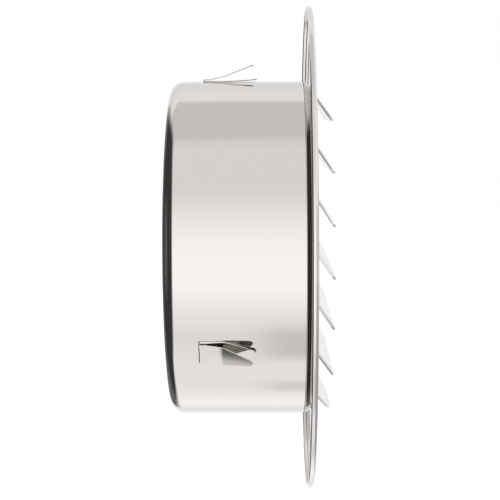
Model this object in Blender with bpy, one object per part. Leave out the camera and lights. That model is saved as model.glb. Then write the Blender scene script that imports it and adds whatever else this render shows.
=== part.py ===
"""Round stainless steel louvred vent with a duct spigot, fly screen and three leaf-spring clips."""
import math

import bmesh
import bpy
import numpy as np
from mathutils import Matrix, Vector

MM = 0.001

# ---- driving dimensions, all in millimetres -------------------------------------------------
SHEET = 0.6                 # plate and spigot sheet thickness
FIT_GAP = 0.3               # working gap left between pieces that touch

FACE_RADIUS = 70.0          # outside radius of the face disc
RIM_DEPTH = 1.7             # how far the turned-back rim stands proud of the wall
RIM_ROUND = 0.9             # outside rounding where the face turns into the rim

SPIGOT_RADIUS = 48.5        # outside radius of the spigot, for a 100 mm duct
SPIGOT_LENGTH = 38.9        # wall plane to the free end of the spigot
END_ROUND = (3.6, 3.6)      # outside shoulder of the turned-in free end, along X and radially
END_LIP_RADIUS = 43.4       # inner radius of the flat lip at the free end
FRONT_ROUND = (1.75, 1.3)   # outside shoulder of the turned-in front end, along X and radially
FRONT_LIP_RADIUS = 44.8     # inner radius of the weld lip behind the plate

LOUVRE_COUNT = 7
LOUVRE_PITCH = 13.87        # vertical spacing of the louvres
LOUVRE_TOP_ROOT = 45.6      # height of the top louvre's root line above the axis
LOUVRE_LENGTH = 9.7         # root line to free edge, along the flap
LOUVRE_SLOPE = 57.0         # degrees below horizontal
LOUVRE_FIELD_RADIUS = 47.1  # circle the louvre ends lie on, seen from the front
LOUVRE_CORNER = 1.5         # rounding of the two free corners of a flap
SLOT_CLEARANCE = 0.05       # slot is this much larger than the flap at its ends

SCREEN_RADIUS = 46.7        # outside radius of the fly screen border
SCREEN_BORDER = 2.2         # radial width of the pressed border
SCREEN_PITCH = 12.0         # spacing of the simplified screen wires
SCREEN_WIRE = 1.0           # width of a simplified wire
SCREEN_BACK = -0.42         # rear face of the screen border
SCREEN_THICK = 0.34

RING_WIRE = 1.4             # wire diameter of the snap ring behind the screen
RING_RADIUS = 46.6          # centre-line radius of the snap ring
RING_PLANE = -1.35          # plane of the snap ring
RING_SPLIT = 12.0           # degrees of opening in the snap ring

CLIP_THICK = 0.25           # spring strip thickness
CLIP_BASE_WIDTH = 7.4       # the welded leaf and the fold
CLIP_LEAF_WIDTH = 5.9       # the sprung leaf
CLIP_TIP_WIDTH = 1.8
CLIP_FOLD_X = -29.6         # free-end side of the hairpin fold
CLIP_FOLD_RADIUS = 0.25     # centre-line radius of the fold
CLIP_BEND_X = -27.8         # where the sprung leaf bends up from the fold, its joint axis
CLIP_LEAF_ANGLE = 17.0      # rise of the sprung leaf, degrees
CLIP_TAPER_X = -23.5        # where both leaves start to narrow
CLIP_BASE_TIP_X = -14.2     # tip of the leaf welded to the spigot
CLIP_LEAF_TIP_X = -15.2     # tip of the sprung leaf
CLIP_ANGLES = (0.0, 120.0, 240.0)

TURN = 60                   # segments round the vent


def clearScene():
    for item in list(bpy.data.objects):
        bpy.data.objects.remove(item, do_unlink=True)


def steel(name, colour, roughness):
    mat = bpy.data.materials.new(name)
    mat.use_nodes = True
    shader = mat.node_tree.nodes["Principled BSDF"]
    shader.inputs["Base Color"].default_value = (*colour, 1.0)
    shader.inputs["Metallic"].default_value = 1.0
    shader.inputs["Roughness"].default_value = roughness
    return mat


def makeObject(name, verts, faces, mat, origin=(0.0, 0.0, 0.0)):
    shift = np.asarray(origin, dtype=float)
    mesh = bpy.data.meshes.new(name)
    points = (np.asarray(verts, dtype=float) - shift) * MM
    mesh.from_pydata(points.tolist(), [], [list(map(int, face)) for face in faces])
    mesh.update()
    build = bmesh.new()
    build.from_mesh(mesh)
    bmesh.ops.recalc_face_normals(build, faces=build.faces)
    build.to_mesh(mesh)
    build.free()
    mesh.materials.append(mat)
    item = bpy.data.objects.new(name, mesh)
    item.location = Vector(tuple(shift * MM))
    bpy.context.scene.collection.objects.link(item)
    return item


def revolve(profile, segments):
    """Closed profile of (x, radius) points turned round the X axis."""
    profile = np.asarray(profile, dtype=float)
    count = len(profile)
    angle = np.arange(segments) * 2.0 * math.pi / segments
    x = np.repeat(profile[:, 0][None, :], segments, axis=0)
    y = np.sin(angle)[:, None] * profile[:, 1][None, :]
    z = np.cos(angle)[:, None] * profile[:, 1][None, :]
    verts = np.stack([x, y, z], axis=2).reshape(-1, 3)
    faces = []
    for i in range(segments):
        for j in range(count):
            a = i * count + j
            b = i * count + (j + 1) % count
            c = ((i + 1) % segments) * count + (j + 1) % count
            d = ((i + 1) % segments) * count + j
            faces.append((a, b, c, d))
    return verts, faces


def arcPoints(centre, radii, start, stop, steps):
    """Arc of an ellipse with the given half-axes along X and radially."""
    angle = np.radians(np.linspace(start, stop, steps + 1))
    return [(centre[0] + radii[0] * math.cos(a), centre[1] + radii[1] * math.sin(a)) for a in angle]


def extrude(outline, low, high):
    """Outline of (y, z) points carried along X from low to high."""
    outline = np.asarray(outline, dtype=float)
    count = len(outline)
    back = np.column_stack([np.full(count, low), outline])
    front = np.column_stack([np.full(count, high), outline])
    verts = np.vstack([back, front])
    faces = [tuple(range(count))[::-1], tuple(range(count, 2 * count))]
    for j in range(count):
        k = (j + 1) % count
        faces.append((j, k, k + count, j + count))
    return verts, faces


def joinSolids(solids):
    verts = []
    faces = []
    start = 0
    for points, polys in solids:
        verts.append(np.asarray(points, dtype=float))
        faces.extend([tuple(index + start for index in poly) for poly in polys])
        start += len(points)
    return np.vstack(verts), faces


def applyBoolean(target, cutter, operation):
    cutter.hide_render = True
    cutter.display_type = "WIRE"
    step = target.modifiers.new("shape", "BOOLEAN")
    step.operation = operation
    step.solver = "EXACT"
    step.object = cutter
    bpy.context.view_layer.update()
    graph = bpy.context.evaluated_depsgraph_get()
    result = bpy.data.meshes.new_from_object(target.evaluated_get(graph))
    target.modifiers.clear()
    target.data = result
    bpy.data.objects.remove(cutter, do_unlink=True)


def cleanMesh(item, angle=0.01):
    """Merge stray points and remove zero-size faces left by the cuts."""
    build = bmesh.new()
    build.from_mesh(item.data)
    bmesh.ops.remove_doubles(build, verts=build.verts, dist=0.000002)
    bmesh.ops.dissolve_degenerate(build, edges=build.edges, dist=0.000002)
    bmesh.ops.dissolve_limit(
        build, angle_limit=angle, verts=build.verts, edges=build.edges, delimit={"NORMAL"}
    )
    bmesh.ops.triangulate(build, faces=build.faces)
    bmesh.ops.recalc_face_normals(build, faces=build.faces)
    build.to_mesh(item.data)
    build.free()


# ---- face plate with seven lanced louvres ---------------------------------------------------
def louvreOutline(root, radius, foreshorten, corner):
    """Outline of a slot or a flap from its root line down, with its ends on the field circle.

    A bent flap covers less height than its own length, so its rows are foreshortened before
    the circle gives their half-width.
    """
    along = np.linspace(0.0, LOUVRE_LENGTH - corner, 7)
    half = np.sqrt(radius ** 2 - (root - along * foreshorten) ** 2)
    right = list(zip(half, root - along))
    if corner > 0.0:
        floor = math.sqrt(radius ** 2 - (root - LOUVRE_LENGTH * foreshorten) ** 2)
        inner = min(half[-1], floor) - corner
        start = np.array((half[-1], root - along[-1]))
        middle = np.array((inner + corner, root - LOUVRE_LENGTH))
        finish = np.array((inner, root - LOUVRE_LENGTH))
        for t in (0.25, 0.5, 0.75, 1.0):
            point = (1 - t) ** 2 * start + 2 * t * (1 - t) * middle + t ** 2 * finish
            right.append((point[0], point[1]))
    left = [(-y, z) for y, z in reversed(right)]
    return right + left


def louvreRoots():
    return [LOUVRE_TOP_ROOT - k * LOUVRE_PITCH for k in range(LOUVRE_COUNT)]


def buildFacePlate(mat):
    front = RIM_DEPTH
    back = RIM_DEPTH - SHEET
    inside = RIM_ROUND - SHEET
    centre = (front - RIM_ROUND, FACE_RADIUS - RIM_ROUND)
    # one sheet: disc, rounded turn, rim running back to the wall
    hub = 1.0
    profile = [(back, hub), (front, hub)]
    profile += arcPoints(centre, (RIM_ROUND, RIM_ROUND), 0.0, 90.0, 4)
    profile += [(0.0, FACE_RADIUS), (0.0, FACE_RADIUS - SHEET)]
    profile += arcPoints(centre, (inside, inside), 90.0, 0.0, 2)
    verts, faces = revolve(profile, TURN)
    # close the hub with two fans of faces so the disc is solid
    count = len(profile)
    faces = [face for face in faces if not (face[0] % count == 0 and face[1] % count == 1)]
    faces.append(tuple(i * count for i in range(TURN)))
    faces.append(tuple(i * count + 1 for i in range(TURN))[::-1])
    plate = makeObject("face_plate", verts, faces, mat)
    slots = []
    flaps = []
    for root in louvreRoots():
        opening = louvreOutline(root, LOUVRE_FIELD_RADIUS + SLOT_CLEARANCE, 1.0, 0.0)
        slots.append(extrude(opening, back - 1.0, front + 1.0))
        fall = math.sin(math.radians(LOUVRE_SLOPE))
        outline = louvreOutline(root, LOUVRE_FIELD_RADIUS, fall, LOUVRE_CORNER)
        points, polys = extrude(outline, -SHEET / 2, SHEET / 2)
        # the root edge carries on a little way into the plate above the slot
        points[points[:, 2] > root - 0.001, 2] = root + 0.25
        points[:, 2] -= root
        tilt = math.radians(90.0 - LOUVRE_SLOPE)
        turn = np.array(Matrix.Rotation(-tilt, 3, "Y"))
        points = points @ turn.T
        points[:, 0] += (front + back) / 2
        points[:, 2] += root
        flaps.append((points, polys))
    cutter = makeObject("slot_cutter", *joinSolids(slots), mat)
    applyBoolean(plate, cutter, "DIFFERENCE")
    adder = makeObject("flap_adder", *joinSolids(flaps), mat)
    applyBoolean(plate, adder, "UNION")
    cleanMesh(plate)
    return plate


# ---- spigot ---------------------------------------------------------------------------------
def buildSpigot(mat):
    rear = -SPIGOT_LENGTH
    front = RIM_DEPTH - SHEET - FIT_GAP
    outer = SPIGOT_RADIUS
    endCentre = (rear + END_ROUND[0], outer - END_ROUND[1])
    frontCentre = (front - FRONT_ROUND[0], outer - FRONT_ROUND[1])
    endInside = (END_ROUND[0] - SHEET, END_ROUND[1] - SHEET)
    frontInside = (FRONT_ROUND[0] - SHEET, FRONT_ROUND[1] - SHEET)
    profile = [(rear, END_LIP_RADIUS)]
    profile += arcPoints(endCentre, END_ROUND, 180.0, 90.0, 5)
    profile += arcPoints(frontCentre, FRONT_ROUND, 90.0, 0.0, 4)
    profile += [(front, FRONT_LIP_RADIUS), (front - SHEET, FRONT_LIP_RADIUS)]
    profile += arcPoints(frontCentre, frontInside, 0.0, 90.0, 3)
    profile += arcPoints(endCentre, endInside, 90.0, 180.0, 4)
    profile += [(rear + SHEET, END_LIP_RADIUS)]
    verts, faces = revolve(profile, TURN)
    return makeObject("spigot", verts, faces, mat)


# ---- fly screen and its snap ring -----------------------------------------------------------
def buildScreen(mat):
    low = SCREEN_BACK
    high = SCREEN_BACK + SCREEN_THICK
    inner = SCREEN_RADIUS - SCREEN_BORDER
    count = int(inner // SCREEN_PITCH)
    lines = np.arange(-count, count + 1) * SCREEN_PITCH
    edges = np.sort(np.concatenate([lines - SCREEN_WIRE / 2, lines + SCREEN_WIRE / 2]))
    reach = SCREEN_RADIUS + 4.0
    edges = np.concatenate([[-reach], edges, [reach]])
    size = len(edges)
    # flat grid of wires: a cell is solid where it lies on a wire in either direction
    inset = 0.04
    verts = []
    for depth in (low + inset, high - inset):
        for y in edges:
            for z in edges:
                verts.append((depth, y, z))
    layer = size * size
    solid = np.zeros((size - 1, size - 1), dtype=bool)
    solid[1:-1:2, :] = True
    solid[:, 1:-1:2] = True
    faces = []
    for i in range(size - 1):
        for j in range(size - 1):
            if not solid[i, j]:
                continue
            a = i * size + j
            b = a + size
            faces.append((a, b, b + 1, a + 1))
            faces.append((a + layer, a + 1 + layer, b + 1 + layer, b + layer))
            sides = (
                (i - 1, j, a, a + 1),
                (i + 1, j, b, b + 1),
                (i, j - 1, a, b),
                (i, j + 1, a + 1, b + 1),
            )
            for row, col, p, q in sides:
                outside = row < 0 or col < 0 or row >= size - 1 or col >= size - 1
                if outside or not solid[row, col]:
                    faces.append((p, q, q + layer, p + layer))
    used = sorted({index for face in faces for index in face})
    renumber = {old: new for new, old in enumerate(used)}
    verts = [verts[index] for index in used]
    faces = [tuple(renumber[index] for index in face) for face in faces]
    screen = makeObject("fly_screen", verts, faces, mat)
    disc = [((inner + 0.8) * math.cos(a), (inner + 0.8) * math.sin(a))
            for a in np.linspace(0.0, 2.0 * math.pi, TURN, endpoint=False)]
    trim = makeObject("trim_disc", *extrude(disc, low - 1.0, high + 1.0), mat)
    applyBoolean(screen, trim, "INTERSECT")
    border = revolve([(low, inner), (low, SCREEN_RADIUS), (high, SCREEN_RADIUS), (high, inner)], TURN)
    adder = makeObject("border_adder", *border, mat)
    applyBoolean(screen, adder, "UNION")
    cleanMesh(screen)
    return screen


def buildSnapRing(mat):
    sides = 8
    steps = 54
    gap = math.radians(RING_SPLIT)
    around = np.linspace(math.pi + gap / 2, 3.0 * math.pi - gap / 2, steps + 1)
    section = np.arange(sides) * 2.0 * math.pi / sides
    radius = RING_RADIUS + RING_WIRE / 2 * np.cos(section)
    x = RING_PLANE + RING_WIRE / 2 * np.sin(section)
    verts = np.stack([
        np.repeat(x[None, :], steps + 1, axis=0),
        np.sin(around)[:, None] * radius[None, :],
        np.cos(around)[:, None] * radius[None, :],
    ], axis=2).reshape(-1, 3)
    faces = []
    for i in range(steps):
        for j in range(sides):
            k = (j + 1) % sides
            faces.append((i * sides + j, i * sides + k, (i + 1) * sides + k, (i + 1) * sides + j))
    faces.append(tuple(range(sides))[::-1])
    faces.append(tuple(steps * sides + j for j in range(sides)))
    return makeObject("snap_ring", verts, faces, mat)


# ---- leaf-spring clips ----------------------------------------------------------------------
def leafWidth(x, tip, full):
    """Full width to the taper line, then narrowing to a rounded tip."""
    t = np.clip((x - CLIP_TAPER_X) / (tip - CLIP_TAPER_X), 0.0, 1.0)
    width = full + (CLIP_TIP_WIDTH - full) * t
    left = np.clip((tip - x) / (CLIP_TIP_WIDTH / 2), 0.0, 1.0)
    return width * np.sqrt(1.0 - (1.0 - left) ** 2 * 0.85)


def stripAlong(path, width):
    """Closed strip of spring steel along (x, height) points; normals from the path."""
    path = np.asarray(path, dtype=float)
    along = np.gradient(path, axis=0)
    along /= np.linalg.norm(along, axis=1)[:, None]
    normal = np.column_stack([-along[:, 1], along[:, 0]]) * CLIP_THICK / 2
    upper = path + normal
    lower = path - normal
    half = np.asarray(width) / 2
    rings = np.stack([
        np.column_stack([upper[:, 0], -half, upper[:, 1]]),
        np.column_stack([upper[:, 0], half, upper[:, 1]]),
        np.column_stack([lower[:, 0], half, lower[:, 1]]),
        np.column_stack([lower[:, 0], -half, lower[:, 1]]),
    ], axis=1)
    verts = rings.reshape(-1, 3)
    faces = [(0, 1, 2, 3)]
    last = (len(path) - 1) * 4
    faces.append((last + 3, last + 2, last + 1, last))
    for i in range(len(path) - 1):
        for j in range(4):
            k = (j + 1) % 4
            faces.append((i * 4 + j, i * 4 + k, i * 4 + 4 + k, i * 4 + 4 + j))
    return verts, faces


def roundAxis(verts, degrees):
    """Carry points from the top of the spigot round the vent axis."""
    turn = np.array(Matrix.Rotation(math.radians(degrees), 3, "X"))
    return np.asarray(verts) @ turn.T


def tipStations(tip, start, steps):
    """Stations from the start of a leaf's taper to its tip, closer together on the rounded end."""
    shoulder = tip - CLIP_TIP_WIDTH / 2
    return np.concatenate([np.linspace(start, shoulder, steps), np.linspace(shoulder, tip, 6)[1:]])


def buildClip(number, degrees, mat):
    floor = SPIGOT_RADIUS + FIT_GAP + CLIP_THICK / 2
    centre = np.array((CLIP_FOLD_X + CLIP_FOLD_RADIUS + CLIP_THICK / 2, floor + CLIP_FOLD_RADIUS))
    crest = centre[1] + CLIP_FOLD_RADIUS
    # welded leaf, the whole fold and the short flat above it, up to the bend
    flat = tipStations(CLIP_BASE_TIP_X, CLIP_TAPER_X, 5)[::-1]
    flat = np.append(flat, (CLIP_TAPER_X + centre[0]) / 2)
    fold = np.linspace(-math.pi / 2, -math.pi * 1.5, 13)
    above = np.linspace(centre[0], CLIP_BEND_X - FIT_GAP / 2, 3)[1:]
    path = np.vstack([
        np.column_stack([flat, np.full(len(flat), floor)]),
        centre + CLIP_FOLD_RADIUS * np.column_stack([np.cos(fold), np.sin(fold)]),
        np.column_stack([above, np.full(len(above), crest)]),
    ])
    width = np.concatenate([
        leafWidth(flat, CLIP_BASE_TIP_X, CLIP_BASE_WIDTH),
        np.linspace(CLIP_BASE_WIDTH, CLIP_LEAF_WIDTH, len(fold)),
        np.full(len(above), CLIP_LEAF_WIDTH),
    ])
    verts, faces = stripAlong(path, width)
    makeObject(f"clip_{number}_base", roundAxis(verts, degrees), faces, mat)
    # sprung leaf: from the bend, rising to its tip
    run = tipStations(CLIP_LEAF_TIP_X, CLIP_TAPER_X, 6)
    run = np.concatenate([[CLIP_BEND_X + FIT_GAP / 2, (CLIP_BEND_X + CLIP_TAPER_X) / 2], run])
    slope = math.tan(math.radians(CLIP_LEAF_ANGLE))
    path = np.column_stack([run, crest + (run - CLIP_BEND_X) * slope])
    verts, faces = stripAlong(path, leafWidth(run, CLIP_LEAF_TIP_X, CLIP_LEAF_WIDTH))
    hinge = roundAxis([(CLIP_BEND_X, 0.0, crest)], degrees)[0]
    makeObject(f"clip_{number}_leaf", roundAxis(verts, degrees), faces, mat, hinge)


def main():
    clearScene()
    polished = steel("polished_stainless", (0.62, 0.61, 0.59), 0.08)
    spring = steel("spring_steel", (0.60, 0.59, 0.56), 0.12)
    wire = steel("screen_wire", (0.55, 0.55, 0.54), 0.30)
    buildFacePlate(polished)
    buildSpigot(polished)
    buildScreen(wire)
    buildSnapRing(spring)
    for number, degrees in enumerate(CLIP_ANGLES, start=1):
        buildClip(number, degrees, spring)


main()
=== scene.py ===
import math
import bmesh
import bpy
import numpy as np
from mathutils import Matrix


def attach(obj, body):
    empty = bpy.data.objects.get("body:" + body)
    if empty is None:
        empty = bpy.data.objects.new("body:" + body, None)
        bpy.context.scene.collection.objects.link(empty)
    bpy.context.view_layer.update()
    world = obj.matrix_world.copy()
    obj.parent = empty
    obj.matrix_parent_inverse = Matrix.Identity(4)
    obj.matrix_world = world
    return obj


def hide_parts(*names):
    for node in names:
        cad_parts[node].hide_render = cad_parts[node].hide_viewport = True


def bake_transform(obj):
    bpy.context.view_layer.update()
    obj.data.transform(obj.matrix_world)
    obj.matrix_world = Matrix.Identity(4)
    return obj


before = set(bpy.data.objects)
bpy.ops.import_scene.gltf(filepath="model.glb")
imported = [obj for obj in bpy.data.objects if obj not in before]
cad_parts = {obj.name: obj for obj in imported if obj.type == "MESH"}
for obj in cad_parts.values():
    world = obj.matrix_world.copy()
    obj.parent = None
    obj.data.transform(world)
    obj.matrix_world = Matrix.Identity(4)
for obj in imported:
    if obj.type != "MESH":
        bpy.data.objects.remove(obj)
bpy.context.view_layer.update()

mm = 0.001


def linear(hexColour):  # sRGB hex to the linear values that Blender's sockets take
    channels = [int(hexColour[i:i + 2], 16) / 255 for i in (1, 3, 5)]
    return [c / 12.92 if c <= 0.04045 else ((c + 0.055) / 1.055) ** 2.4 for c in channels] + [1.0]


def addNode(tree, kind, inputs=None, **settings):  # one node, its settings, its values or links
    node = tree.nodes.new("ShaderNode" + kind)
    for name, value in settings.items():
        setattr(node, name, value)
    for socket, value in (inputs or {}).items():
        if isinstance(value, bpy.types.NodeSocket):
            tree.links.new(value, node.inputs[socket])
        else:
            node.inputs[socket].default_value = value
    return node


weldDistance = 0.000001    # metres: points nearer than this are one
shortEdge = 0.0000005      # metres: edges under this are closed up


def makePiece(name, verts, faces, material, sharp=35.0):  # millimetres in, a smooth piece out
    mesh = bpy.data.meshes.new(name)
    mesh.from_pydata((np.asarray(verts).reshape(-1, 3) * mm).tolist(), [], faces)
    shell = bmesh.new()
    shell.from_mesh(mesh)
    bmesh.ops.remove_doubles(shell, verts=shell.verts, dist=weldDistance)
    bmesh.ops.dissolve_degenerate(shell, edges=shell.edges, dist=shortEdge)
    bmesh.ops.recalc_face_normals(shell, faces=shell.faces)
    openEdges = sum(1 for edge in shell.edges if not edge.is_manifold)
    shell.to_mesh(mesh)
    shell.free()
    mesh.shade_smooth()
    mesh.set_sharp_from_angle(angle=math.radians(sharp))
    mesh.materials.append(material)
    piece = bpy.data.objects.new(name, mesh)
    bpy.context.scene.collection.objects.link(piece)
    print(f"{name}: {len(mesh.polygons)} faces, {openEdges} open edges")
    return piece


def gridFaces(rows, columns, closeRows=False, closeColumns=False):  # quads of a rows x columns grid
    r = np.arange(rows if closeRows else rows - 1)
    c = np.arange(columns if closeColumns else columns - 1)
    i, j = np.meshgrid(r, c, indexing="ij")
    a = i * columns + j
    b = i * columns + (j + 1) % columns
    d = ((i + 1) % rows) * columns + j
    e = ((i + 1) % rows) * columns + (j + 1) % columns
    return np.stack([a, b, e, d], axis=2).reshape(-1, 4).tolist()


def joinParts(parts):  # several (verts, faces) as one
    verts, faces, start = [], [], 0
    for points, polys in parts:
        points = np.asarray(points, dtype=float).reshape(-1, 3)
        verts.append(points)
        faces += [[index + start for index in poly] for poly in polys]
        start += len(points)
    return np.vstack(verts), faces


def ellipseArc(centre, radii, start, stop, steps):  # points (x, r) on an ellipse between two angles
    t = np.radians(np.linspace(start, stop, steps + 1))
    return np.column_stack([centre[0] + radii[0] * np.cos(t), centre[1] + radii[1] * np.sin(t)])


def holdFlats(profile, margin=0.15):  # an extra point just inside each long run keeps it shading flat
    points = []
    for here, there in zip(profile[:-1], profile[1:]):
        points.append(here)
        length = np.linalg.norm(there - here)
        if length > 4 * margin:
            points.append(here + (there - here) * margin / length)
            points.append(there - (there - here) * margin / length)
    points.append(profile[-1])
    return np.array(points)


def turned(profile, angles):  # a lathe about the vent axis: (x, r) goes to (x, r sin angle, r cos angle)
    x = np.broadcast_to(profile[:, 0], (len(angles), len(profile)))
    y = np.sin(angles)[:, None] * profile[:, 1]
    z = np.cos(angles)[:, None] * profile[:, 1]
    return np.stack([x, y, z], axis=2)


def sheetStrip(path, halfWidth, thickness, edge, crown=0.0):
    # a strip carried along a path in the xz plane: at each station the section is the rectangle
    # 2 halfWidth x thickness, its corners rounded by edge, set square to the path's tangent, and
    # arched across its width by y^2 crown / 2, where crown is one over the arch's radius
    tangent = np.gradient(path, axis=0)
    tangent /= np.linalg.norm(tangent, axis=1)[:, None]
    normal = np.column_stack([-tangent[:, 1], tangent[:, 0]])
    t = np.radians(np.array([0, 30, 60, 90]))
    corner = np.column_stack([np.cos(t), np.sin(t)]) * edge
    fill = np.linspace(0.8, -0.8, 9)   # stations across the two broad faces, of the half-width
    across, through = [], []
    for sideY, sideN, flip in ((1, 1, 1), (-1, 1, -1), (-1, -1, 1), (1, -1, -1)):
        points = corner[::flip]
        across.append(np.column_stack([np.full(len(t), sideY), sideY * (points[:, 0] - edge)]))
        through.append(sideN * (thickness / 2 - edge + points[:, 1]))
        if flip == 1:
            across.append(np.column_stack([fill * sideY, np.zeros(len(fill))]))
            through.append(np.full(len(fill), sideN * thickness / 2))
    across = np.vstack(across)
    through = np.concatenate(through)
    y = halfWidth[:, None] * across[:, 0] + across[:, 1]
    lift = through - y ** 2 * np.reshape(crown, (-1, 1)) / 2
    x = path[:, :1] + normal[:, :1] * lift
    z = path[:, 1:] + normal[:, 1:] * lift
    verts = np.stack([x, y, z], axis=2)
    ring = len(through)
    faces = gridFaces(len(path), ring, closeColumns=True)
    last = (len(path) - 1) * ring
    faces += [list(range(ring)), list(range(last, last + ring))]
    return verts.reshape(-1, 3), faces


camera = {
    "lens": 102.9,        # mm
    "distance": 421.2,    # mm from the vent axis
    "along": -10.25,      # mm along the vent axis
    "height": 2.75,       # mm above the axis, square to the line of sight
    "elevation": 5.0,     # degrees
    "pitch": 0.483, "yaw": -0.835, "roll": 0.177,   # degrees, turns about its own axes
    "sensor": 36.0,       # mm
}


def setCamera():
    data = bpy.data.cameras.new("camera")
    data.lens = camera["lens"]
    data.sensor_width = camera["sensor"]
    data.clip_start = 0.01
    data.clip_end = 50.0
    view = bpy.data.objects.new("camera", data)
    up = math.radians(camera["elevation"])
    base = Matrix.Rotation(math.radians(90) - up, 4, "X")
    turnX = Matrix.Rotation(math.radians(camera["pitch"]), 4, "X")
    turnY = Matrix.Rotation(math.radians(camera["yaw"]), 4, "Y")
    turnZ = Matrix.Rotation(math.radians(camera["roll"]), 4, "Z")
    offset = Matrix.Translation((camera["along"] * mm, camera["height"] * mm, camera["distance"] * mm))
    view.matrix_world = base @ offset @ (turnZ @ turnX @ turnY).inverted()
    bpy.context.scene.collection.objects.link(view)
    bpy.context.scene.camera = view


setCamera()
bpy.context.scene.view_settings.view_transform = "Standard"
print("camera placed")

# studio: a white room as steel sees it, dark only past the duct end of the vent
studio = {
    "elevation": 5.0,             # degrees: the light bands are level with the line of sight
    "peak": 1.6,                  # brightness that the band value 1 stands for
    # bands round the vent axis: degrees up from the line of sight, brightness / peak; first what
    # the duct side and the face side share, then what only one of them has
    "bands": [
        (-180, 0.60), (-148, 0.65), (-132, 0.86), (-118, 0.80), (-37, 0.84), (-27, 0.92), (-12, 0.94),
        (3, 0.90), (20, 0.80), (30, 0.71), (40, 0.66), (70, 0.66), (76, 0.62), (80, 0.54), (116, 0.53),
        (120, 0.71), (128, 0.70), (150, 0.57), (180, 0.57),
    ],
    "ductBands": [(-104, 0.76), (-90, 0.77), (-80, 0.74), (-62, 0.71), (-46, 0.79)],
    "faceBands": [(-112, 0.64), (-106, 0.62), (-100, 0.76), (-84, 0.76), (-79, 0.62), (-74, 0.55),
                  (-60, 0.55), (-54, 0.68), (-46, 0.78)],
    # what the polished face looks at: degrees up from the line of sight, brightness / peak
    "faceRoom": [(-90, 0.24), (-40, 0.30), (-17, 0.38), (-9, 0.53), (0, 0.53), (12, 0.57), (17, 0.80),
                 (50, 0.72), (90, 0.60)],
    "sideEdge": (-0.02, 0.01),    # where the duct side's bands turn into the face side's
    "faceEdge": (0.25, 0.50),     # how far towards the face side that begins
    "darkEdge": (-0.40, -0.58),   # how far towards the duct side the room falls dark
    "darkReach": 0.34,            # how much nearer the dark comes straight behind the vent
    "darkLift": 0.9,              # and how that fades again higher up
    "darkFloor": (-0.92, -0.83),  # how far down the dark side turns light towards the floor
    # lit openings in the dark behind: degrees up, radius in degrees
    "lightCaps": [(32.7, 28.0), (-19.6, 14.8)],
    "capSoftness": 0.006,         # of the cosine, each way from the cap's edge
    "dark": 0.055,                # how bright the dark side still is
    "darkEnd": 0.15,              # and straight along the axis
    "darkEndEdge": (-0.93, -0.99),
    "darkBehind": 0.18,           # and behind the vent
    "darkBehindEdge": (0.55, 0.75),
    "surround": 1.14,             # what matt surfaces receive
    "floorDrop": 300.0,           # mm from the axis down to the floor
    "floorReach": 4000.0,         # mm from the middle to each side of the floor
}


def lightBands(tree, place, stops):  # place runs from 0 to 1 over 360 degrees, 0.5 on the line of sight
    ramp = addNode(tree, "ValToRGB", {0: place})
    elements = ramp.color_ramp.elements
    stops = sorted(stops)
    while len(elements) < len(stops):
        elements.new(0.5)
    for element, (degrees, value) in zip(elements, stops):
        element.position = (degrees + 180) / 360
    for element, (degrees, value) in zip(elements, stops):   # once all stand in order
        element.color = (value, value, value, 1)
    return ramp.outputs[0]


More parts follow.
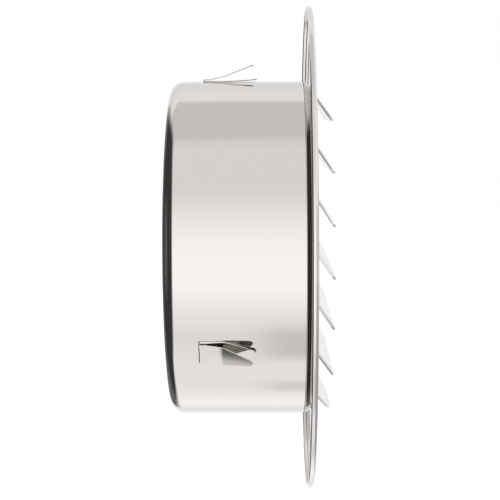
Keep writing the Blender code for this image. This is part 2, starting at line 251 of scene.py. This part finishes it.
def setStudio():
    world = bpy.data.worlds.new("studio")
    bpy.context.scene.world = world
    world.use_nodes = True
    tree = world.node_tree
    tree.nodes.clear()
    up = math.radians(studio["elevation"])
    wholeTurn = 1 / (2 * math.pi)    # radians to turns
    look = addNode(tree, "TexCoord").outputs["Generated"]
    # cosines: how far the look direction goes up, towards the viewer and towards the face side
    rise, front, along = [
        addNode(tree, "VectorMath", {0: look, 1: axis}, operation="DOT_PRODUCT").outputs["Value"]
        for axis in ((0, math.sin(up), math.cos(up)), (0, -math.cos(up), math.sin(up)), (1, 0, 0))
    ]
    angle = addNode(tree, "Math", {0: rise, 1: front}, operation="ARCTAN2").outputs[0]
    turn = addNode(tree, "Math", {0: angle, 1: wholeTurn, 2: 0.5}, operation="MULTIPLY_ADD").outputs[0]
    faceSide = addNode(tree, "MapRange", {0: along, 1: studio["sideEdge"][0], 2: studio["sideEdge"][1]})
    sides = addNode(tree, "Mix", {
        0: faceSide.outputs[0],
        2: lightBands(tree, turn, studio["bands"] + studio["ductBands"]),
        3: lightBands(tree, turn, studio["bands"] + studio["faceBands"]),
    }, data_type="FLOAT").outputs[0]
    level = addNode(tree, "Math", {0: rise}, operation="ARCSINE").outputs[0]
    height = addNode(tree, "Math", {0: level, 1: wholeTurn, 2: 0.5}, operation="MULTIPLY_ADD").outputs[0]
    beforeFace = addNode(tree, "MapRange", {0: along, 1: studio["faceEdge"][0], 2: studio["faceEdge"][1]})
    bands = addNode(tree, "Mix", {
        0: beforeFace.outputs[0],
        2: sides,
        3: lightBands(tree, height, studio["faceRoom"]),
    }, data_type="FLOAT").outputs[0]
    lit = addNode(tree, "Math", {0: bands, 1: studio["peak"]}, operation="MULTIPLY").outputs[0]
    # the dark side lies where along - behind (darkReach - darkLift rise) passes darkEdge
    back = addNode(tree, "Math", {0: front, 1: -1.0}, operation="MULTIPLY").outputs[0]
    behind = addNode(tree, "Math", {0: back, 1: 0.0}, operation="MAXIMUM").outputs[0]
    above = addNode(tree, "Math", {0: rise, 1: 0.0}, operation="MAXIMUM").outputs[0]
    reach = addNode(tree, "Math", {0: above, 1: -studio["darkLift"], 2: studio["darkReach"]},
                    operation="MULTIPLY_ADD").outputs[0]
    closer = addNode(tree, "Math", {0: behind, 1: reach}, operation="MULTIPLY").outputs[0]
    depth = addNode(tree, "Math", {0: along, 1: closer}, operation="SUBTRACT").outputs[0]
    darkSide = addNode(tree, "MapRange", {0: depth, 1: studio["darkEdge"][0], 2: studio["darkEdge"][1]})
    shade = darkSide.outputs[0]
    # openings that stay lit: the floor, and the caps
    floorLight = addNode(tree, "MapRange", {0: rise, 1: studio["darkFloor"][0], 2: studio["darkFloor"][1]})
    lights = [floorLight.outputs[0]]
    for lift, radius in studio["lightCaps"]:
        tilt = math.radians(lift) - up
        edge = math.cos(math.radians(radius))
        near = addNode(tree, "VectorMath", {0: look, 1: (0, math.cos(tilt), math.sin(tilt))},
                       operation="DOT_PRODUCT").outputs["Value"]
        soft = studio["capSoftness"]
        lights.append(addNode(tree, "MapRange", {0: near, 1: edge + soft, 2: edge - soft}).outputs[0])
    for light in lights:
        shade = addNode(tree, "Math", {0: shade, 1: light}, operation="MULTIPLY").outputs[0]
    levels = []
    for cosine, name in ((along, "darkEnd"), (behind, "darkBehind")):
        begin, finish = studio[name + "Edge"]
        levels.append(addNode(tree, "MapRange", {
            0: cosine, 1: begin, 2: finish, 3: studio["dark"], 4: studio[name],
        }).outputs[0])
    unlit = addNode(tree, "Math", {0: levels[0], 1: levels[1]}, operation="MAXIMUM").outputs[0]
    room = addNode(tree, "Mix", {0: shade, 2: lit, 3: unlit}, data_type="FLOAT").outputs[0]
    rays = addNode(tree, "LightPath")
    matt = addNode(tree, "Mix", {0: rays.outputs["Is Camera Ray"], 2: studio["surround"], 3: 1.0},
                   data_type="FLOAT").outputs[0]
    value = addNode(tree, "Mix", {0: rays.outputs["Is Glossy Ray"], 2: matt, 3: room},
                    data_type="FLOAT").outputs[0]
    ground = addNode(tree, "Background", {"Color": (1, 1, 1, 1), "Strength": value})
    addNode(tree, "OutputWorld", {"Surface": ground.outputs[0]})


def setFloor():
    paper = bpy.data.materials.new("whitePaper")
    paper.use_nodes = True
    shader = paper.node_tree.nodes["Principled BSDF"]
    shader.inputs["Base Color"].default_value = linear("#F7F7F5")
    shader.inputs["Roughness"].default_value = 0.9
    shader.inputs["Specular IOR Level"].default_value = 0.1
    mesh = bpy.data.meshes.new("floor")
    reach = studio["floorReach"]
    corners = np.array([(-reach, -reach), (reach, -reach), (reach, reach), (-reach, reach)])
    verts = np.column_stack([corners, np.full(4, -studio["floorDrop"])]) * mm
    mesh.from_pydata(verts.tolist(), [], [(0, 1, 2, 3)])
    mesh.materials.append(paper)
    floor = bpy.data.objects.new("floor", mesh)
    floor.visible_glossy = False
    bpy.context.scene.collection.objects.link(floor)


setStudio()
setFloor()
print("studio ready")

# metals: all lengths in mm, roughness give or take its variation
metals = {
    # 18/8 stainless sheet, mirror polished after forming: crisp reflections with a slight ripple
    "mirrorPolishedStainless": {
        "colour": "#CFCBC9", "roughness": 0.05, "variation": 0.012,
        "waveSize": 22.0, "waveHeight": 0.006,        # slow waves left by rolling, mm
        "grainSize": 0.8, "grainHeight": 0.0002,      # polishing grain, mm, coarser than real so it shows
        "grainStretch": (0.15, 1, 1),                 # long along the vent axis
    },
    # the same sheet's unpolished side: pickled and skin-passed at the mill, a soft grey satin
    "millFinishStainless": {
        "colour": "#BFBDBA", "roughness": 0.30, "variation": 0.05,
        "waveSize": 14.0, "waveHeight": 0.004,
        "grainSize": 0.5, "grainHeight": 0.0008,
        "grainStretch": (0.3, 1, 1),
    },
    # stainless spring strip, bright rolled: a little softer, with grain along the strip
    "brightRolledSpringStrip": {
        "colour": "#CFCCC6", "roughness": 0.10, "variation": 0.02,
        "waveSize": 9.0, "waveHeight": 0.004,
        "grainSize": 0.4, "grainHeight": 0.0004,
        "grainStretch": (0.2, 1, 1),
    },
    # drawn stainless wire, plain woven: a satin finish from the drawing die
    "drawnStainlessWire": {
        "colour": "#BDBBB6", "roughness": 0.28, "variation": 0.05,
        "waveSize": 4.0, "waveHeight": 0.002,
        "grainSize": 0.3, "grainHeight": 0.001,
        "grainStretch": (1, 1, 1),
    },
}


def metal(name):  # two noises on object coordinates: one for roughness and waves, one for grain
    m = metals[name]
    mat = bpy.data.materials.new(name)
    mat.use_nodes = True
    tree = mat.node_tree
    shader = tree.nodes["Principled BSDF"]
    shader.inputs["Base Color"].default_value = linear(m["colour"])
    shader.inputs["Metallic"].default_value = 1.0
    place = addNode(tree, "TexCoord").outputs["Object"]
    patches = addNode(tree, "TexNoise", {
        "Vector": place, "Scale": 1 / (m["waveSize"] * mm), "Detail": 2.0,
    }).outputs[0]
    rough = addNode(tree, "MapRange", {
        0: patches, 1: 0.3, 2: 0.7,     # most of the noise lies between these
        3: m["roughness"] - m["variation"], 4: m["roughness"] + m["variation"],
    })
    tree.links.new(rough.outputs[0], shader.inputs["Roughness"])
    waves = addNode(tree, "Bump", {"Strength": 1.0, "Distance": m["waveHeight"] * mm, "Height": patches})
    stretch = addNode(tree, "Mapping", {"Vector": place, "Scale": m["grainStretch"]})
    grain = addNode(tree, "TexNoise", {
        "Vector": stretch.outputs[0], "Scale": 1 / (m["grainSize"] * mm), "Detail": 3.0,
    })
    fine = addNode(tree, "Bump", {
        "Strength": 1.0, "Distance": m["grainHeight"] * mm, "Height": grain.outputs[0],
        "Normal": waves.outputs[0],
    })
    tree.links.new(fine.outputs[0], shader.inputs["Normal"])
    return mat


polishedSheet = metal("mirrorPolishedStainless")
millSheet = metal("millFinishStainless")
springStrip = metal("brightRolledSpringStrip")
drawnWire = metal("drawnStainlessWire")
print("metals ready")

# spigot: rolled tube, both ends turned inward on a shoulder
spigot = {
    "radius": 48.5, "sheet": 0.6,
    "length": 38.9,       # back from the wall
    "front": 0.95,        # front of the weld lip
    "endRound": (3.6, 3.6), "endLip": 43.4,      # duct end: its round, and the radius its lip ends on
    "frontStart": -0.8, "frontLip": 44.8,        # where the front shoulder starts and ends
    "frontTurns": [(0, 25, 0.25), (25, 45, 1.5)],   # its arcs: degrees from, to, run along the axis
    "frontInside": (1.15, 0.5),                  # its round inside
    "cutEdge": 0.12,      # rounding of the sheared sheet edge
    "segments": 288,
}


def frontShoulder():  # a quick bend out of the tube, then a long easy one to the weld face
    x, r = spigot["frontStart"], spigot["radius"]
    points = []
    for begin, finish, run in spigot["frontTurns"]:
        t = np.radians(np.linspace(begin, finish, 11))
        size = run / (np.sin(t[-1]) - np.sin(t[0]))
        out = size * (np.sin(t) - np.sin(t[0]))
        down = size * (np.cos(t[0]) - np.cos(t))
        points.append(np.column_stack([x + out, r - down]))
        x, r = points[-1][-1]
    return np.vstack([points[0], points[1][1:]])


def buildSpigot():
    s = spigot
    rear, front, outer, sheet, cut = -s["length"], s["front"], s["radius"], s["sheet"], s["cutEdge"]
    endCentre = (rear + s["endRound"][0], outer - s["endRound"][1])
    endInside = (s["endRound"][0] - sheet, s["endRound"][1] - sheet)
    frontCentre = (front - sheet - s["frontInside"][0], outer - sheet - s["frontInside"][1])
    profile = np.vstack([
        ellipseArc((rear + cut, s["endLip"] + cut), (cut, cut), 270, 180, 3),
        ellipseArc(endCentre, s["endRound"], 180, 90, 20),
        frontShoulder(),
        ellipseArc((front - cut, s["frontLip"] + cut), (cut, cut), 0, -90, 3),
        ellipseArc((front - sheet + cut, s["frontLip"] + cut), (cut, cut), 270, 180, 3),
        ellipseArc(frontCentre, s["frontInside"], 0, 90, 14),
        ellipseArc(endCentre, endInside, 90, 180, 16),
        ellipseArc((rear + sheet - cut, s["endLip"] + cut), (cut, cut), 0, -90, 3),
    ])
    profile = holdFlats(np.vstack([profile, profile[:1]]))[:-1]
    angles = np.arange(s["segments"]) * 2 * math.pi / s["segments"]
    grid = turned(profile, angles)
    faces = gridFaces(len(angles), len(profile), True, True)
    piece = makePiece("spigotShell", grid, faces, polishedSheet)
    finishInside(piece)
    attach(piece, "vent")
    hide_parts("spigot")


def finishInside(piece):  # faces that look at the axis keep the sheet's mill finish
    mesh = piece.data
    mesh.materials.append(millSheet)
    count = len(mesh.polygons)
    centre = np.zeros(count * 3)
    normal = np.zeros(count * 3)
    mesh.polygons.foreach_get("center", centre)
    mesh.polygons.foreach_get("normal", normal)
    centre, normal = centre.reshape(-1, 3), normal.reshape(-1, 3)
    inward = (centre[:, 1:] * normal[:, 1:]).sum(axis=1) < -0.3 * np.linalg.norm(centre[:, 1:], axis=1)
    mesh.polygons.foreach_set("material_index", inward.astype(np.int32))
    mesh.update()


buildSpigot()
print("spigot turned")

# face plate: pressed disc with a turned-back rim and seven lanced louvres
plate = {
    "radius": 70.0, "front": 1.7, "sheet": 0.6,
    "rimRound": 0.9,          # the rim's turn, outside
    "rimInside": 0.2,         # and inside, beside the bead
    "bead": 0.45,             # radius of the rolled free edge
    "joinRadius": 48.3,       # circle where the turned rim part meets the louvre field part
    "fieldRadius": 47.1,      # circle that the louvres' ends follow
    "slotGap": 0.05,          # between a louvre's end and its slot's
    "louvres": 7, "pitch": 13.87, "topRoot": 45.6, "length": 9.7,
    "slope": 57.0,            # degrees down from level
    "bend": 0.8,              # centre-line radius of the bend at each root
    "tuck": 0.3,              # how far a louvre's sheet runs up into the plate
    "corner": 1.5,            # rounding of a louvre's free corners
    "flapEdge": 0.14,         # and of its sheared edges
    "segments": 360,
}
sameHeight = 0.000001         # mm


def louvreRoots():
    return [plate["topRoot"] - k * plate["pitch"] for k in range(plate["louvres"])]


def plateHeights():  # the join circle's heights, with every slot's top and bottom edge among them
    p = plate
    edges = np.array([z for root in louvreRoots() for z in (root, root - p["length"])])
    level = np.arcsin(edges / p["joinRadius"])
    even = np.linspace(-math.pi / 2, math.pi / 2, p["segments"] // 2 + 1)
    # an even step goes where a slot's edge already stands near it
    clear = np.abs(even[:, None] - level[None, :]).min(axis=1) > math.pi / p["segments"] * 0.6
    clear[0] = clear[-1] = True
    return np.sort(np.concatenate([even[clear], level]))


def plateRim(level):  # the annulus and rim, turned about the axis with the same points on the join circle
    p = plate
    front, back, bead = p["front"], p["front"] - p["sheet"], p["bead"]
    centre = (front - p["rimRound"], p["radius"] - p["rimRound"])
    inside = p["rimInside"]
    profile = holdFlats(np.vstack([
        [(front, p["joinRadius"])],
        ellipseArc(centre, (p["rimRound"], p["rimRound"]), 0, 90, 10),
        ellipseArc((bead, p["radius"] - bead), (bead, bead), 90, 270, 18),
        ellipseArc((back - inside, p["radius"] - 2 * bead - inside), (inside, inside), 90, 0, 6),
        [(back, p["joinRadius"])],
    ]))
    around = np.concatenate([level, math.pi - level[1:-1][::-1]])
    grid = turned(profile, math.pi / 2 - around)
    return grid, gridFaces(len(around), len(profile), closeRows=True)


def plateField(level):  # bars between the slots and the crescents beside them, front and back
    p = plate
    height = p["joinRadius"] * np.sin(level)
    wide = p["joinRadius"] * np.cos(level)
    slotRadius = p["fieldRadius"] + p["slotGap"]
    near = np.sqrt(np.maximum(slotRadius ** 2 - height ** 2, 0))
    near = np.where(np.abs(height) > p["topRoot"] + 0.01, wide / 2, near)   # at the circle's two ends
    parts = []
    cuts = [height[-1]] + [z for root in louvreRoots() for z in (root, root - p["length"])] + [height[0]]
    for x in (p["front"], p["front"] - p["sheet"]):
        for k, (top, bottom) in enumerate(zip(cuts[:-1], cuts[1:])):
            rows = np.where((height <= top + sameHeight) & (height >= bottom - sameHeight))[0]
            columns = [(-wide, -near), (near, wide)]
            if k % 2 == 0:     # a bar, not a slot
                columns.append((-near, near))
            for left, right in columns:
                y = np.column_stack([left[rows], right[rows]])
                z = np.column_stack([height[rows], height[rows]])
                grid = np.stack([np.full_like(y, x), y, z], axis=2)
                parts.append((grid, gridFaces(len(rows), 2)))
    for k in range(1, len(cuts) - 1, 2):     # the walls of each slot
        rows = np.where((height <= cuts[k] + sameHeight) & (height >= cuts[k + 1] - sameHeight))[0]
        y = np.concatenate([near[rows], -near[rows][::-1]])
        z = np.concatenate([height[rows], height[rows][::-1]])
        loop = np.stack([np.zeros_like(y), y, z], axis=1)
        walls = np.stack([loop + (p["front"], 0, 0), loop + (p["front"] - p["sheet"], 0, 0)])
        parts.append((walls, gridFaces(2, len(y), closeColumns=True)))
    return parts


def louvreFlap(root):
    # the path leaves the plate straight down, turns out on the bend radius, then runs straight;
    # the half-width at each height is that of the field circle, with the free corners rounded
    p = plate
    tilt = math.radians(90 - p["slope"])
    middle = p["front"] - p["sheet"] / 2
    reach = p["length"] * math.sin(tilt)
    turn = np.linspace(0, tilt, 9)
    bend = np.column_stack([middle + p["bend"] * (1 - np.cos(turn)), root - p["bend"] * np.sin(turn)])
    straight = (middle + reach - bend[-1, 0]) / math.sin(tilt)
    closing = p["corner"] * (1 - np.sin(np.linspace(0, math.pi / 2, 10)))
    run = np.concatenate([
        [0.1],     # just past the bend, so that the rest shades flat
        np.linspace(0, straight - p["corner"], 10)[1:-1],
        straight - closing,
    ])
    slope = bend[-1] + run[:, None] * np.array([math.sin(tilt), -math.cos(tilt)])
    path = np.vstack([[(middle, root + p["tuck"])], bend, slope])
    half = np.sqrt(p["fieldRadius"] ** 2 - np.minimum(path[:, 1], root) ** 2)
    into = np.clip(run - (straight - p["corner"]), 0, p["corner"])
    trim = p["corner"] - np.sqrt(np.maximum(p["corner"] ** 2 - into ** 2, 0))
    half[-len(run):] -= trim
    return sheetStrip(path, half, p["sheet"], p["flapEdge"])


def buildPlate():
    level = plateHeights()
    verts, faces = joinParts([plateRim(level)] + plateField(level))
    piece = makePiece("facePlate", verts, faces, polishedSheet)
    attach(piece, "vent")
    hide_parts("face_plate")
    verts, faces = joinParts([louvreFlap(root) for root in louvreRoots()])
    flaps = makePiece("louvres", verts, faces, polishedSheet)
    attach(flaps, "vent")


buildPlate()
print("face plate pressed")

# fly screen: plain woven wire cloth in a pressed border
screen = {
    "pitch": 1.8, "wire": 0.3, "clothRadius": 45.3,
    "plane": -0.25,           # middle of the cloth
    "border": 46.7, "borderInner": 44.4, "borderBack": -0.58, "borderFront": 0.08,
    "borderEdge": 0.2,        # how round its inner edge is
    "borderSegments": 180,
}


def wovenWires():
    # each wire is a tube whose centre line runs straight across the round cloth and swings
    # half a wire's depth forwards and back as a cosine with the crossing wires' spacing
    s = screen
    count = int(s["clothRadius"] // s["pitch"])
    swing = s["wire"] / 2
    section = np.radians(np.array([30, 102, 174, 246, 318]))   # five sides are enough for so thin a wire
    sides = len(section)
    parts = []
    for direction in (0, 1):
        for k in range(-count, count + 1):
            offset = k * s["pitch"]
            reach = math.sqrt(s["clothRadius"] ** 2 - offset ** 2)
            steps = max(int(2 * reach / s["pitch"] * 4), 4)
            run = np.linspace(-reach, reach, steps + 1)
            phase = math.pi * (k + direction)
            lift = s["plane"] + swing * np.cos(math.pi * run / s["pitch"] + phase)
            x = lift[:, None] + swing * np.sin(section)
            side = offset + swing * np.cos(section) + np.zeros_like(x)
            forward = run[:, None] + np.zeros_like(x)
            order = [x, forward, side] if direction == 0 else [x, side, forward]
            faces = gridFaces(steps + 1, sides, closeColumns=True)
            faces += [list(range(sides)), list(range(steps * sides, steps * sides + sides))]
            parts.append((np.stack(order, axis=2), faces))
    return parts


def buildScreen():
    s = screen
    verts, faces = joinParts(wovenWires())
    cloth = makePiece("wireCloth", verts, faces, drawnWire, 60.0)
    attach(cloth, "vent")
    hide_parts("fly_screen")
    depth = (s["borderFront"] - s["borderBack"]) / 2
    middle = (s["borderFront"] + s["borderBack"]) / 2
    profile = np.vstack([
        ellipseArc((middle, s["border"] - depth), (depth, depth), 0, 180, 10),
        ellipseArc((middle, s["borderInner"] + s["borderEdge"]), (depth, s["borderEdge"]), 180, 360, 8),
    ])
    angles = np.arange(s["borderSegments"]) * 2 * math.pi / s["borderSegments"]
    faces = gridFaces(len(angles), len(profile), True, True)
    border = makePiece("screenBorder", turned(profile, angles), faces, drawnWire)
    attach(border, "vent")


buildScreen()
print("fly screen woven")

# snap ring: split round wire behind the screen
ring = {
    "wire": 1.4, "radius": 46.6,
    "plane": -1.35,       # middle of the wire
    "split": 12.0,        # degrees left open
    "sides": 16,
}


def buildSnapRing():
    # a round section carried round the axis, left open at the bottom; its ends close in half a ball
    sides = ring["sides"]
    gap = math.radians(ring["split"])
    size = ring["wire"] / 2
    sweep = np.linspace(math.pi + gap / 2, 3 * math.pi - gap / 2, 181)
    past = 1 - np.sin(np.linspace(0, math.pi / 2, 6))[:-1]     # stations on the ball, in its radii
    ball = np.maximum(np.sqrt(1 - past ** 2), 0.02)
    shrink = np.concatenate([ball, np.ones(len(sweep)), ball[::-1]])[:, None]
    past = past * size / ring["radius"]
    sweep = np.concatenate([sweep[0] - past, sweep, sweep[-1] + past[::-1]])[:, None]
    section = np.arange(sides) * 2 * math.pi / sides
    radius = ring["radius"] + size * shrink * np.cos(section)
    x = ring["plane"] + size * shrink * np.sin(section)
    grid = np.stack([x, np.sin(sweep) * radius, np.cos(sweep) * radius], axis=2)
    faces = gridFaces(len(sweep), sides, closeColumns=True)
    last = (len(sweep) - 1) * sides
    faces += [list(range(sides)), list(range(last, last + sides))]
    piece = makePiece("snapRing", grid, faces, springStrip)
    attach(piece, "vent")
    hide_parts("snap_ring")


buildSnapRing()
print("snap ring wound")

# clips: hairpin springs of bright strip, one leaf welded down, one sprung
clip = {
    "strip": 0.25, "edge": 0.1,
    "seat": 48.53,         # underside of the welded leaf
    "hug": 48.5,           # radius that it is arched to across its width, the spigot's
    "tipLift": 0.45,       # how far its free tip stands off
    "baseWidth": 7.4, "leafWidth": 5.9, "tipWidth": 1.8,
    "foldX": -29.6, "foldRadius": 0.22,
    "foldReach": 0.5,      # the fold's depth along the axis
    "crestFlat": 0.2,      # short flat past the fold, welded leaf's share
    "bendX": -27.8, "bendRadius": 1.2,
    "rise": 14.5,          # degrees that the sprung leaf stands out past its bend
    "tipRise": 20.5,       # and past the taper line
    "crown": 24.0,         # radius that it is arched to across its width
    "taperX": -23.5, "baseTip": -14.2, "leafTip": -15.2,
    "give": 0.9,           # each way from the bend, the stretch that flexes when pressed
    "angles": (0.0, 120.0, 240.0), "bodies": ("leaf_top", "leaf_front", "leaf_rear"),
}


def leafHalfWidth(x, tip, full):
    # full width to the taper line, then narrowing as the 1.2th power of the way to the tip, which
    # ends on a half ellipse
    c = clip
    t = np.clip((x - c["taperX"]) / (tip - c["taperX"]), 0, 1) ** 1.2
    half = (full + (c["tipWidth"] - full) * t) / 2
    left = np.clip((tip - x) / (c["tipWidth"] / 2), 0, 1)
    return half * np.sqrt(1 - (1 - left) ** 2 * 0.95)


def leafStations(tip):  # from the taper line to the tip, closing up on the rounded end
    c = clip
    shoulder = tip - c["tipWidth"] / 2
    end = tip - c["tipWidth"] / 2 * (1 - np.sin(np.linspace(0, math.pi / 2, 10)))
    return np.concatenate([np.linspace(c["taperX"], shoulder, 16)[:-1], end])


def clipBase():  # welded leaf from its tip back to the fold, round it, and on to the fold's crest
    c = clip
    floor = c["seat"] + c["strip"] / 2
    centre = np.array((c["foldX"] + c["foldReach"] + c["strip"] / 2, floor + c["foldRadius"]))
    flat = np.concatenate([leafStations(c["baseTip"])[::-1], np.linspace(c["taperX"], centre[0], 8)[1:-1]])
    turn = np.radians(np.linspace(-90, -270, 25))
    fold = centre + np.column_stack([c["foldReach"] * np.cos(turn), c["foldRadius"] * np.sin(turn)])
    away = np.clip((flat - c["taperX"]) / (c["baseTip"] - c["taperX"]), 0, 1)
    flatPath = np.column_stack([flat, floor + c["tipLift"] * away ** 1.5])
    path = np.vstack([flatPath, fold, [fold[-1] + (c["crestFlat"], 0)]])
    hug = np.zeros(len(path))     # eases out round the fold
    hug[:len(flat)] = -1 / c["hug"]
    hug[len(flat):-1] = -np.cos(np.linspace(0, math.pi / 2, len(fold))) / c["hug"]
    ease = (1 - np.cos(np.linspace(0, math.pi, len(fold)))) / 2
    half = np.concatenate([
        leafHalfWidth(flat, c["baseTip"], c["baseWidth"]),
        (c["baseWidth"] + (c["leafWidth"] - c["baseWidth"]) * ease) / 2,
        [c["leafWidth"] / 2],
    ])
    return sheetStrip(path, half, c["strip"], c["edge"], hug), path[-1]


def clipLeaf(begin):  # sprung leaf: level from the crest, up round the bend, then straight to its tip
    c = clip
    rise = math.radians(c["rise"])
    reach = c["bendRadius"] * math.tan(rise / 2)
    turn = np.linspace(0, rise, 7)
    bend = np.column_stack([
        c["bendX"] - reach + c["bendRadius"] * np.sin(turn),
        begin[1] + c["bendRadius"] * (1 - np.cos(turn)),
    ])
    run = np.concatenate([np.linspace(bend[-1, 0], c["taperX"], 8)[1:-1], leafStations(c["leafTip"])])
    step = math.tan(math.radians(c["tipRise"])) - math.tan(rise)
    height = (run - bend[-1, 0]) * math.tan(rise) + np.maximum(run - c["taperX"], 0) * step
    path = np.vstack([[begin], [(begin + bend[0]) / 2], bend, np.column_stack([run, bend[-1, 1] + height])])
    half = leafHalfWidth(path[:, 0], c["leafTip"], c["leafWidth"])
    arch = np.clip((path[:, 0] - begin[0]) / (c["taperX"] - begin[0]), 0, 1)
    return sheetStrip(path, half, c["strip"], c["edge"], arch / c["crown"])


def buildClips():
    c = clip
    (baseVerts, baseFaces), crest = clipBase()
    leafVerts, leafFaces = clipLeaf(crest)
    for number, (degrees, body) in enumerate(zip(c["angles"], c["bodies"]), start=1):
        turn = np.array(Matrix.Rotation(math.radians(degrees), 3, "X"))
        base = makePiece(f"clip{number}Base", baseVerts @ turn.T, baseFaces, springStrip)
        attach(base, "vent")
        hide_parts(f"clip_{number}_base")
        leaf = makePiece(f"clip{number}Leaf", leafVerts @ turn.T, leafFaces, springStrip)
        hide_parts(f"clip_{number}_leaf")
        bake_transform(leaf)


buildClips()
print("clips folded")
